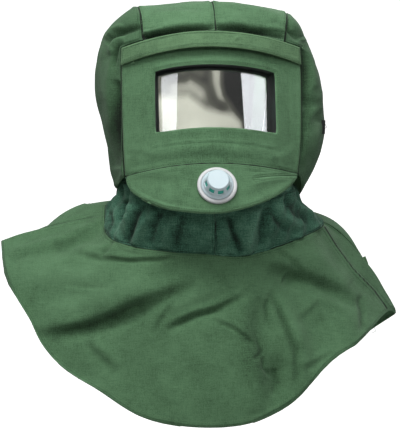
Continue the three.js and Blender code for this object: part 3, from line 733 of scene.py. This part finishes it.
capeFront = dict(
    finish=capeCanvas, slot="canvas",
    sheet=dict(flat=(0.68, 0.36), held="draped", rests_on=["neckLeft", "neckRight"], area=0.1516),
    grow=0.0009, seam=hemSeam,
    clouds=[(0.12, 0.009, 11), (0.045, 0.0028, 12)],
    seamLines=[((325, 227), (337, 246), (354, 269), (375, 291), (387, 309))],
    folds=[
        (6, 0, 9, (8, 261), (27, 255), (46, 249), (65, 243), (84, 233), (112, 219)),
        (3.4, 0, 5.5, (72, 250), (100, 256), (130, 260), (160, 259), (178, 256)),
        (5, 4, 0, (74, 246), (96, 247), (116, 244)),
        (2.6, -3.5, 0, (100, 256), (106, 248), (114, 238)),
        (9, 0, 12, (30, 333), (80, 327), (107, 318), (137, 304), (160, 295), (196, 281)),
        (2.6, -2.5, 0, (60, 331), (90, 325), (118, 314), (148, 300)),
        (9, 4, 0, (32, 312), (70, 306), (110, 296), (150, 280)),
        (7, 0, 5, (84, 338), (98, 352), (118, 370)),
        (3, -2.5, 0, (152, 336), (158, 324), (168, 310), (176, 300)),
        (5, 0, 8, (166, 329), (180, 321), (196, 314), (215, 309), (246, 292)),
        (2, -2, 0, (172, 327), (190, 317), (212, 311), (230, 302)),
        (9, 3, 0, (170, 310), (190, 298), (226, 288)),
        (15, 0, 12, (266, 412), (262, 372), (252, 342), (250, 316), (256, 296)),
        (3.6, -5, 0, (271, 289), (279, 312), (288, 334), (296, 352), (296, 388)),
        (9, 4, 0, (280, 300), (296, 330), (308, 368)),
        (2, -3, 0, (271, 294), (266, 306), (267, 328)),
        (3, 0, 4, (212, 318), (234, 328), (250, 342), (258, 352)),
        (2.2, -3.5, 0, (256, 340), (261, 352), (252, 361)),
        (2.2, -3, 0, (262, 356), (262, 368), (270, 376)),
        (4, -4, 0, (274, 368), (276, 382), (274, 396)),
        (8, 0, 8, (262, 262), (284, 270), (308, 278), (334, 289), (358, 303)),
        (4, 0, 3.5, (276, 248), (290, 258), (302, 272)),
        (9, 4, 0, (286, 252), (318, 262), (350, 284)),
        (3.5, -4, 0, (359, 296), (363, 312), (361, 332)),
        (5, 0, 3, (298, 320), (318, 302), (346, 314)),
        (4, 0, 2.5, (298, 368), (314, 362), (332, 352)),
        (10, 3, 0, (20, 275), (60, 272), (110, 276)),
        (12, 3, 0, (150, 345), (165, 375), (170, 405)),
        (3, 0, -2, (60, 285), (85, 288), (108, 290)),
    ],
)
makeCloth("capeFront", "cape_front", **capeFront)

capeBack = dict(
    finish=capeCanvas, slot="canvas",
    sheet=dict(flat=(0.72, 0.36), held="draped", rests_on=["neckLeft", "neckRight"], area=0.178),
    grow=0.0009, seam=hemSeam,
    clouds=[(0.1, 0.005, 13), (0.04, 0.002, 14)],
    folds=[
        (3, 0, 3, (10, 240), (50, 226), (86, 216)),
        (4, 2.5, 0, (338, 236), (360, 262), (382, 292)),
    ],
)
makeCloth("capeBack", "cape_back", **capeBack)

browFlap = dict(
    finish=flapCanvas, slot="flap_canvas",
    sheet=dict(flat=(0.292, 0.0296), held="draped", rests_on=["facePanel"], area=0.0086),
    levels=4, grow=0.0, seam=flapSeam, thicken=0.0018,
    clouds=[(0.04, 0.0014, 15), (0.015, 0.0004, 35)],
    folds=[
        (1.3, -0.6, 0, (125, 49), (150, 41.5), (180, 35.5), (212, 33.5), (245, 34.5), (268, 39), (299, 47)),
        (1.3, -0.6, 0, (127, 60), (160, 51), (193, 45.5), (218, 44), (246, 46), (275, 52), (300, 57)),
        (4, 0, 1.4, (140, 52), (160, 46), (185, 41)),
        (1.5, 1.6, 0, (234, 40), (236, 39), (239, 39)),
    ],
)
makeCloth("browFlap", "brow_flap", **browFlap)

shoulderTab = dict(
    finish=flapCanvas, slot="flap_canvas",
    sheet=dict(flat=(0.014, 0.012), held="stretched", rests_on=["capeBack"]),
    grow=0.0, seam=flapSeam, thicken=0.0008,
)
makeCloth("shoulderTab", "side_tab", **shoulderTab)

backLining = dict(
    finish=liningCloth, slot="lining",
    sheet=dict(flat=(0.26, 0.36), held="draped", rests_on=["crownLeft", "crownRight"], area=0.0548),
    grow=0.0, crease=0.4,
    clouds=[(0.05, 0.0025, 16)],
    folds=[
        (6, 0, -8, (242, 119), (226, 113), (208, 107), (192, 96), (176, 90)),
        (4, 6, 0, (206, 66), (208, 86), (214, 102)),
        (4, -6, 0, (196, 66), (200, 84), (206, 98)),
        (5, -6, 0, (219, 66), (220, 88), (226, 106)),
        (5, 6, 0, (178, 70), (190, 80), (202, 82)),
    ],
)
makeCloth("backLining", "back_lining", **backLining)
liningInset = 0.002   # keeps its waves inside the crown's back
cloths["backLining"]["piece"].data.transform(Matrix.Translation((0, -liningInset, 0)))
print("cloth made")


# stitches

stitchSize = dict(length=0.0026, pitch=0.0036, radius=0.00042, corners=5)
threads = dict(points=[], faces=[])


def addStitch(middle, along, normal):
    side = along.cross(normal).normalized()
    rise = side.cross(along).normalized()
    half, radius, corners = stitchSize["length"] / 2, stitchSize["radius"], stitchSize["corners"]
    first = len(threads["points"])
    threads["points"].append(middle - along * half - rise * radius)
    for reach, girth, height in ((-0.7, 0.75, 0.1), (0, 1, 0.45), (0.7, 0.75, 0.1)):
        centre = middle + along * half * reach + rise * radius * height
        for k in range(corners):
            turn = 2 * math.pi * k / corners
            threads["points"].append(
                centre + (side * math.cos(turn) + rise * math.sin(turn)) * radius * girth)
    threads["points"].append(middle + along * half - rise * radius)
    last = len(threads["points"]) - 1
    for k in range(corners):
        following = (k + 1) % corners
        threads["faces"].append((first, first + 1 + following, first + 1 + k))
        threads["faces"].append((last, last - corners + k, last - corners + following))
        for ringNumber in range(2):
            a = first + 1 + ringNumber * corners
            threads["faces"].append((a + k, a + following, a + corners + following, a + corners + k))


def sewPath(path, pitch=stitchSize["pitch"]):
    lengths = [(b[0] - a[0]).length for a, b in zip(path[:-1], path[1:])]
    reach = pitch / 2
    for (start, startNormal), (end, endNormal), length in zip(path[:-1], path[1:], lengths):
        while reach < length:
            share = reach / length
            addStitch(start.lerp(end, share), (end - start) / length, startNormal.lerp(endNormal, share))
            reach += pitch
        reach -= length


# A row of stitches along a line of photo pixels, laid on the piece that the line crosses.
def sewLine(name, *line):
    tree = searchTree(cloths[name]["piece"].data)
    path = []
    for start, end in zip(line[:-1], line[1:]):
        count = max(2, int(math.dist(start, end) / 1.5))
        for i in range(count):
            pixel = (start[0] + (end[0] - start[0]) * i / count, start[1] + (end[1] - start[1]) * i / count)
            place, normal, _, _ = tree.ray_cast(*photoRay(pixel))
            if place:
                path.append((place, normal))
    sewPath(path)


# A row of stitches all along a piece's edges, at one distance from them.
def sewEdge(name, offset):
    mesh = cloths[name]["piece"].data
    over = cloths[name]["distance"] - offset
    isOuter = cloths[name]["isOuter"]
    corners = np.empty(len(mesh.loops), dtype=np.int32)
    mesh.loops.foreach_get("vertex_index", corners)
    quads = corners.reshape(-1, 4)
    crossed = (over[quads].min(axis=1) < 0) & (over[quads].max(axis=1) >= 0) & isOuter[quads].all(axis=1)
    links = {}
    for quad in quads[crossed]:
        ends = []
        for k in range(4):
            a, b = sorted((int(quad[k - 1]), int(quad[k])))
            if (over[a] < 0) != (over[b] < 0):
                ends.append((a, b))
        if len(ends) == 2:
            links.setdefault(ends[0], []).append(ends[1])
            links.setdefault(ends[1], []).append(ends[0])
    points, normals = coordinates(mesh), normalsOf(mesh)
    todo = set(links)
    while todo:
        here = next((edge for edge in todo if len(links[edge]) == 1), None) or next(iter(todo))
        path = []
        while here in todo:
            todo.discard(here)
            a, b = here
            share = over[a] / (over[a] - over[b])
            place = points[a] + (points[b] - points[a]) * share
            path.append((Vector(place), Vector(normals[a])))
            here = next((edge for edge in links[here] if edge in todo), None)
        if len(path) > 4:
            sewPath(path)


def threadFinish(name, light, dark):
    finish = Finish(name)
    twist = finish.noise(finish.object(), 2600, 1, seed=3)
    shade = finish.mix(twist, rgba(*dark), rgba(*light))
    return finish.surface(finish.node("ShaderNodeBsdfPrincipled", None, {
        "Base Color": shade, "Roughness": 0.7, "Specular IOR Level": 0.3}))


def makeThreads(name):
    mesh = bpy.data.meshes.new(name)
    mesh.from_pydata([tuple(p) for p in threads["points"]], [], threads["faces"])
    mesh.shade_smooth()
    piece = bpy.data.objects.new(name, mesh)
    scene.collection.objects.link(piece)
    mesh.materials.append(threadFinish("sewingThread", (98, 132, 96), (62, 92, 64)))
    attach(piece, "root")
    print(name, len(threads["faces"]), "faces")


looseThreads = (
    ("capeFront", ((375, 322), (374, 327), (376, 331), (372, 333))),
    ("sideRight", ((322, 122), (325, 124), (327, 127), (324, 129))),
    ("browFlap", ((302, 44), (304, 46), (302, 48), (305, 49))),
    ("browFlap", ((132, 60), (134, 62.5), (131, 63.5))),
)


# A loose thread starts on the cloth and hangs free in the plane that faces the camera.
def looseThread(name, line):
    tree = searchTree(cloths[name]["piece"].data)
    start, toward = photoRay(line[0])
    place = tree.ray_cast(start, toward)[0]
    if not place:
        place = tree.find_nearest(start + toward * photoView["distance"])[0]
    back = cameraAxes()[3]
    level = place.dot(back) + stitchSize["radius"] * 1.5
    path = []
    for pixel in line:
        eye, way = photoRay(pixel)
        path.append((eye + way * ((level - eye.dot(back)) / way.dot(back)), back))
    sewPath(path, stitchSize["length"] * 0.6)


for clothName, line in looseThreads:
    looseThread(clothName, line)
for clothName, seam in (("crownLeft", plainSeam), ("crownRight", plainSeam), ("chinPanel", plainSeam),
                        ("facePanel", plainSeam), ("capeFront", hemSeam), ("capeBack", hemSeam),
                        ("browFlap", flapSeam)):
    sewEdge(clothName, seam["rows"][0])
sewLine("browFlap", (128.5, 47), (129.5, 60))
sewLine("browFlap", (294.5, 44), (295, 56))
sewLine("facePanel", (141, 62), (142.3, 110), (142.3, 157))
sewLine("facePanel", (288, 63), (289, 110), (289.5, 150))
sewLine("chinPanel", (129, 179), (142, 191), (161, 200.5), (186, 207), (218, 210), (250, 205), (280, 192),
        (293, 183))
makeThreads("stitching")


# the black strap on the right side

strap = dict(ends=((321.5, 120), (321.5, 134)), width=0.011, thickness=0.0022, edge=0.0006,
             flat=(0.013, 0.0215))


def makeStrap():
    tree = searchTree(cloths["sideRight"]["piece"].data)
    ends = []
    for pixel in strap["ends"]:
        eye, way = photoRay(pixel)
        place, normal, _, _ = tree.find_nearest(eye + way * (photoView["distance"] - 0.02))
        ends.append((place, normal))
    (top, topNormal), (bottom, bottomNormal) = ends
    along = (top - bottom).normalized()
    normal = (topNormal + bottomNormal).normalized()
    across = along.cross(normal).normalized()
    normal = across.cross(along)
    middle = (top + bottom) / 2 + normal * strap["thickness"] * 0.35
    bpy.ops.object.select_all(action="DESELECT")
    bpy.ops.mesh.primitive_cube_add(size=1)
    piece = bpy.context.object
    piece.name = "sideStrap"
    turn = Matrix((across, along, normal)).transposed().to_4x4()
    size = Matrix.Diagonal((strap["width"], (top - bottom).length, strap["thickness"], 1))
    piece.data.transform(Matrix.Translation(middle) @ turn @ size)
    bevelled(piece, strap["edge"])
    finishPiece(piece, plasticFinish("strapWebbing", (44, 46, 44), (16, 18, 17), 0.85, 0.6, 900, 5))


# lens and frame

def finishPiece(piece, finish, node=None):
    piece.data.materials.clear()
    piece.data.materials.append(finish)
    onlySelect(piece)
    bpy.ops.object.shade_smooth_by_angle(angle=math.radians(35))
    if node:
        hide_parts(node)
    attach(piece, "root")


smallEdge = 0.0003   # rounding of the window frame's and the valve ring's edges


def bevelled(piece, width):
    onlySelect(piece)
    edge = piece.modifiers.new("softEdge", "BEVEL")
    edge.width = width
    edge.segments = 3
    edge.limit_method = "ANGLE"
    edge.angle_limit = math.radians(28)
    bpy.ops.object.modifier_apply(modifier="softEdge")


lensLook = dict(roughness=0.015, mirror=0.12, forward=0.004)


def lensFinish():
    finish = Finish("clearSheet")
    smears = finish.noise(finish.object(), 30, 3, 0.6, seed=2)
    gloss = finish.node("ShaderNodeBsdfPrincipled", None, {
        "Base Color": (1, 1, 1, 1), "Metallic": 1.0,
        "Roughness": (smears - 0.45).atLeast(0.0) * 0.06 + lensLook["roughness"]})
    clear = finish.node("ShaderNodeBsdfTransparent", None, {"Color": (0.93, 0.95, 0.94, 1)})
    edge = finish.node("ShaderNodeFresnel", None, {"IOR": 1.4})
    return finish.blend(edge * 0.3 + lensLook["mirror"], clear, gloss)


def plasticFinish(name, color, dark, roughness, bump=0.2, scale=400, seed=0.0):
    finish = Finish(name)
    place = finish.object()
    grain = finish.noise(place, scale, 3, 0.6, seed=seed)
    cloud = finish.noise(place, 30, 3, 0.5, seed=seed + 1)
    shade = finish.mix((cloud - 0.3) * 1.2, rgba(*dark), rgba(*color))
    relief = finish.node("ShaderNodeBump", None, {"Height": grain, "Distance": 0.0002, "Strength": bump})
    shader = finish.node("ShaderNodeBsdfPrincipled", None, {
        "Base Color": shade, "Roughness": (grain - 0.5) * 0.15 + roughness, "Normal": relief})
    return finish.surface(shader)


# The photograph shows less of the frame's two posts than the CAD model does.
windowStretch = dict(
    windowFrame=((-0.0867, -0.072, 0.0, 0.079, 0.0947), (-0.0867, -0.0765, 0.0, 0.0795, 0.0947)),
    lensSheet=((-0.0752, 0.0, 0.083), (-0.0835, 0.0, 0.0905)),
)
lensPoints = coordinates(nodes["lens"].data)
windowBend = np.polyfit(lensPoints[:, 0], lensPoints[:, 1], 2)


# Moves the posts outward along the bend of the window.
def stretchWindow(piece):
    points = coordinates(piece.data)
    moved = np.interp(points[:, 0], *windowStretch[piece.name])
    points[:, 1] += np.polyval(windowBend, moved) - np.polyval(windowBend, points[:, 0])
    points[:, 0] = moved
    placeVertices(piece.data, points)


makeStrap()
windowFrame = copyOfNode("lens_frame", "windowFrame")
stretchWindow(windowFrame)
bevelled(windowFrame, smallEdge)
frameRubber = plasticFinish("frameRubber", (30, 46, 40), (12, 16, 15), 0.5)
finishPiece(windowFrame, frameRubber, "lens_frame")

lensSheet = copyOfNode("lens", "lensSheet")
stretchWindow(lensSheet)
lensSheet.data.transform(Matrix.Translation((0, -lensLook["forward"], 0)))
smoothCloth(lensSheet, 3, 1.0)
bpy.ops.object.shade_smooth_by_angle(angle=math.radians(30))
lensSheet.data.materials.append(lensFinish())
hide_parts("lens")
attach(lensSheet, "root")


# breathing valve

# The middle and the outward axis of a round node, with its radius and how far it reaches along the axis.
def discOf(node):
    points = coordinates(nodes[node].data)
    middle = points.mean(axis=0)
    reach = points - middle
    axis = np.linalg.svd(reach, full_matrices=False)[2][2]
    if axis[1] > 0:
        axis = -axis
    along = reach @ axis
    radius = np.linalg.norm(reach - along[:, None] * axis, axis=1).max()
    return dict(middle=Vector(middle), axis=Vector(axis), radius=radius, low=along.min(), high=along.max())


# A loop of the profile's corners, spun round the upright axis.
def turnedPiece(name, profile, segments=72):
    bpy.ops.object.select_all(action="DESELECT")
    bpy.ops.mesh.primitive_circle_add(vertices=len(profile), radius=profile[0][0])
    piece = bpy.context.object
    piece.name = name
    for vertex, (radius, height) in zip(piece.data.vertices, profile):
        vertex.co = (radius, 0, height)
    bpy.ops.object.mode_set(mode="EDIT")
    bpy.ops.mesh.select_all(action="SELECT")
    bpy.ops.mesh.spin(steps=segments, angle=2 * math.pi, center=(0, 0, 0), axis=(0, 0, 1))
    bpy.ops.mesh.select_all(action="SELECT")
    bpy.ops.mesh.remove_doubles(threshold=0.000005)
    bpy.ops.mesh.normals_make_consistent(inside=False)
    bpy.ops.object.mode_set(mode="OBJECT")
    return piece


def seatOnAxis(piece, disc):
    turn = disc["axis"].to_track_quat("Z", "Y")
    piece.data.transform(Matrix.Translation(disc["middle"]) @ turn.to_matrix().to_4x4())


valveSize = dict(
    wall=0.0012, linerWall=0.0008, linerGap=0.0002,
    topRadius=0.69, skirtRadius=0.88,                   # shares of the cap's radius
    slots=8, slotWidth=0.0082, slotHeight=0.0072,
    firstSlot=0.244,                                    # share of one slot's turn
    slotAt=0.6, slotRadius=0.74,                        # shares of the cap's height and radius
)


# A ring of boxes that cuts the slots in the cap's skirt.
def slotCutter(radius, height):
    size = Matrix.Diagonal((valveSize["wall"] * 5, valveSize["slotWidth"], valveSize["slotHeight"], 1))
    place = Matrix.Translation((radius * valveSize["slotRadius"], 0, height))
    boxes = []
    for i in range(valveSize["slots"]):
        bpy.ops.object.select_all(action="DESELECT")
        bpy.ops.mesh.primitive_cube_add(size=1)
        box = bpy.context.object
        turn = Matrix.Rotation(2 * math.pi * (i + valveSize["firstSlot"]) / valveSize["slots"], 4, "Z")
        box.data.transform(turn @ place @ size)
        boxes.append(box)
    onlySelect(*boxes)
    bpy.ops.object.join()
    return boxes[-1]


def makeValve():
    cap = discOf("valve_cap")
    flange = discOf("valve_flange")
    r, low, high = cap["radius"], cap["low"], cap["high"]
    tall, wall = high - low, valveSize["wall"]
    top, skirt = r * valveSize["topRadius"], r * valveSize["skirtRadius"]
    dome = turnedPiece("valveCap", [
        (r, low), (r, low + tall * 0.1), (r * 0.97, low + tall * 0.15), (skirt, low + tall * 0.22),
        (top, low + tall * 0.9), (top * 0.96, low + tall * 0.96), (top * 0.9, high), (0, high),
        (0, high - wall), (top - wall, high - wall), (skirt - wall, low + tall * 0.2),
        (r * 0.93, low + tall * 0.12), (r - wall, low)])
    cutter = slotCutter(r, low + tall * valveSize["slotAt"])
    onlySelect(dome)
    cut = dome.modifiers.new("slots", "BOOLEAN")
    cut.object = cutter
    bpy.ops.object.modifier_apply(modifier="slots")
    bpy.data.objects.remove(cutter)
    seatOnAxis(dome, cap)
    capPlastic = plasticFinish("capPlastic", (194, 209, 213), (180, 197, 202), 0.35)
    finishPiece(dome, capPlastic, "valve_cap")

    gap = wall + valveSize["linerGap"]
    inner = gap + valveSize["linerWall"]
    liner = turnedPiece("valveLiner", [
        (skirt - gap, low + tall * 0.2), (top - gap, high - tall * 0.12),
        (top - inner, high - tall * 0.12), (skirt - inner, low + tall * 0.2)])
    seatOnAxis(liner, cap)
    teal = plasticFinish("tealRubber", (60, 200, 178), (24, 160, 142), 0.45)
    finishPiece(liner, teal, "valve_membrane")

    r, low, high = flange["radius"], flange["low"], flange["high"]
    tall = high - low
    ringPiece = turnedPiece("valveRing", [
        (r * 0.66, low), (r, low), (r, low + tall * 0.45), (r * 0.985, low + tall * 0.75),
        (r * 0.95, low + tall * 0.95), (r * 0.9, high), (r * 0.83, high), (r * 0.815, high - tall * 0.12),
        (r * 0.812, low + tall * 0.5), (r * 0.66, low + tall * 0.5)])
    bevelled(ringPiece, smallEdge)
    seatOnAxis(ringPiece, flange)
    ringPlastic = plasticFinish("ringPlastic", (200, 202, 202), (180, 182, 182), 0.4)
    finishPiece(ringPiece, ringPlastic, "valve_flange")


makeValve()
print("lens and valve made")


# floor, lamps and camera

studio = dict(
    floorZ=-1.75, floorSize=14.0, screenSize=(6.0, 3.8), screenY=7.0, screenLight=1.0, world=0.12,
    mirrorReach=1.7, mirrorTop=90, mirrorBottom=122,
    leftLamp=dict(outer=163, inner=(176.8, 176.3), margin=0.25, radiance=2.2),
    rightLamp=dict(outer=262, inner=(242.4, 244.4), margin=0.25, radiance=3.5),
    frontLamp=dict(place=(-0.3, -2.5, 0.9), size=(1.0, 0.7), power=18),
    topLamp=dict(place=(-0.45, -1.0, 1.75), size=(1.5, 1.0), power=62),
    innerLamp=dict(place=(0.0, -0.05, -0.5), size=(0.08, 0.08), power=0.55, aim=(0, 0.08, -0.15), spread=60),
    backLamp=dict(place=(0.8, 2.4, 1.3), size=(1.4, 1.0), power=32),
)


def stagePiece(name, finish):
    piece = bpy.context.object
    piece.name = name
    onlySelect(piece)
    bpy.ops.object.transform_apply(location=True, rotation=True, scale=True)
    piece.data.materials.append(finish)


def paleFinish(name, emission):
    finish = Finish(name)
    cloud = finish.noise(finish.object(), 0.6, 2)
    shade = finish.mix(cloud, (0.8, 0.8, 0.8, 1), (0.84, 0.84, 0.84, 1))
    return finish.surface(finish.node("ShaderNodeBsdfPrincipled", None, {
        "Base Color": shade, "Roughness": 0.9,
        "Emission Color": (1, 1, 1, 1), "Emission Strength": emission}))


def makeStage():
    bpy.ops.object.select_all(action="DESELECT")
    bpy.ops.mesh.primitive_plane_add(size=studio["floorSize"], location=(0, 0, studio["floorZ"]))
    stagePiece("paleFloor", paleFinish("paleGround", 0))
    wide, tall = studio["screenSize"]
    bpy.ops.mesh.primitive_plane_add(size=1, location=(0, studio["screenY"], studio["floorZ"] + tall / 2),
                                     rotation=(math.pi / 2, 0, 0))
    bpy.context.object.scale = (wide, tall, 1)
    stagePiece("paleScreen", paleFinish("litScreen", studio["screenLight"]))


def areaLamp(name, place, turn, size, power, spread=180, tint=(1, 1, 1)):
    data = bpy.data.lights.new(name, "AREA")
    data.shape = "RECTANGLE"
    data.size, data.size_y = size
    data.spread = math.radians(spread)
    data.color = tint
    data.energy = power
    lamp = bpy.data.objects.new(name, data)
    lamp.location = place
    lamp.rotation_euler = turn.to_euler()
    scene.collection.objects.link(lamp)


def aimedLamp(name, place, size, power, aim=(0, -0.05, -0.2), spread=180):
    turn = (Vector(aim) - Vector(place)).to_track_quat("-Z", "Y")
    areaLamp(name, place, turn, size, power, spread)


# A lamp where the lens mirrors it into the photograph: its inner edge shows at the inner pixels.
def mirroredLamp(name, outer, inner, margin, radiance):
    tree = searchTree(lensSheet.data)

    def mirrored(pixel):
        ray = photoRay(pixel)
        place, normal, _, _ = tree.ray_cast(*ray)
        return place, ray[1].reflect(normal)

    rows = (studio["mirrorTop"], studio["mirrorBottom"])
    rays = [mirrored((x, y)) for x, y in zip(inner, rows)] + [mirrored((outer, y)) for y in rows]
    facing = sum((way for _, way in rays), Vector()).normalized()
    middle = sum((place for place, _ in rays), Vector()) / 4 + facing * studio["mirrorReach"]
    hits = [place + way * ((middle - place).dot(facing) / way.dot(facing)) for place, way in rays]
    up = (hits[0] - hits[1]).normalized()
    side = up.cross(facing)
    if (hits[2] - hits[0]).dot(side) < 0:
        side = -side
    across = [(hit - hits[0]).dot(side) for hit in hits]
    along = [(hit - hits[1]).dot(up) for hit in hits]
    width = max(across) + margin
    low, high = min(along) - margin, max(along) + margin
    centre = hits[1] + side * width / 2 + up * (low + high) / 2
    turn = Matrix((up.cross(facing), up, facing)).transposed().to_quaternion()
    print(name, "is", round(width, 2), "by", round(high - low, 2), "m")
    power = radiance * math.pi * width * (high - low)
    areaLamp(name, centre, turn, (width, high - low), power, tint=(0.93, 0.95, 1.0))


makeStage()
mirroredLamp("leftLamp", **studio["leftLamp"])
mirroredLamp("rightLamp", **studio["rightLamp"])
for lampName in ("frontLamp", "topLamp", "innerLamp", "backLamp"):
    aimedLamp(lampName, **studio[lampName])
world = bpy.data.worlds.new("studioWorld")
world.use_nodes = True
world.node_tree.nodes["Background"].inputs[0].default_value = (1, 1, 1, 1)
world.node_tree.nodes["Background"].inputs[1].default_value = studio["world"]
scene.world = world
scene.view_settings.view_transform = "Standard"

eye, right, up, back = cameraAxes()
cameraData = bpy.data.cameras.new("photoCamera")
cameraData.sensor_width = 36
cameraData.lens = 36 * photoView["distance"] / (photoView["height"] * photoView["metresPerPixel"])
camera = bpy.data.objects.new("photoCamera", cameraData)
camera.location = eye
camera.rotation_euler = (-back).to_track_quat("-Z", "Y").to_euler()
scene.collection.objects.link(camera)
scene.camera = camera
print("studio set")
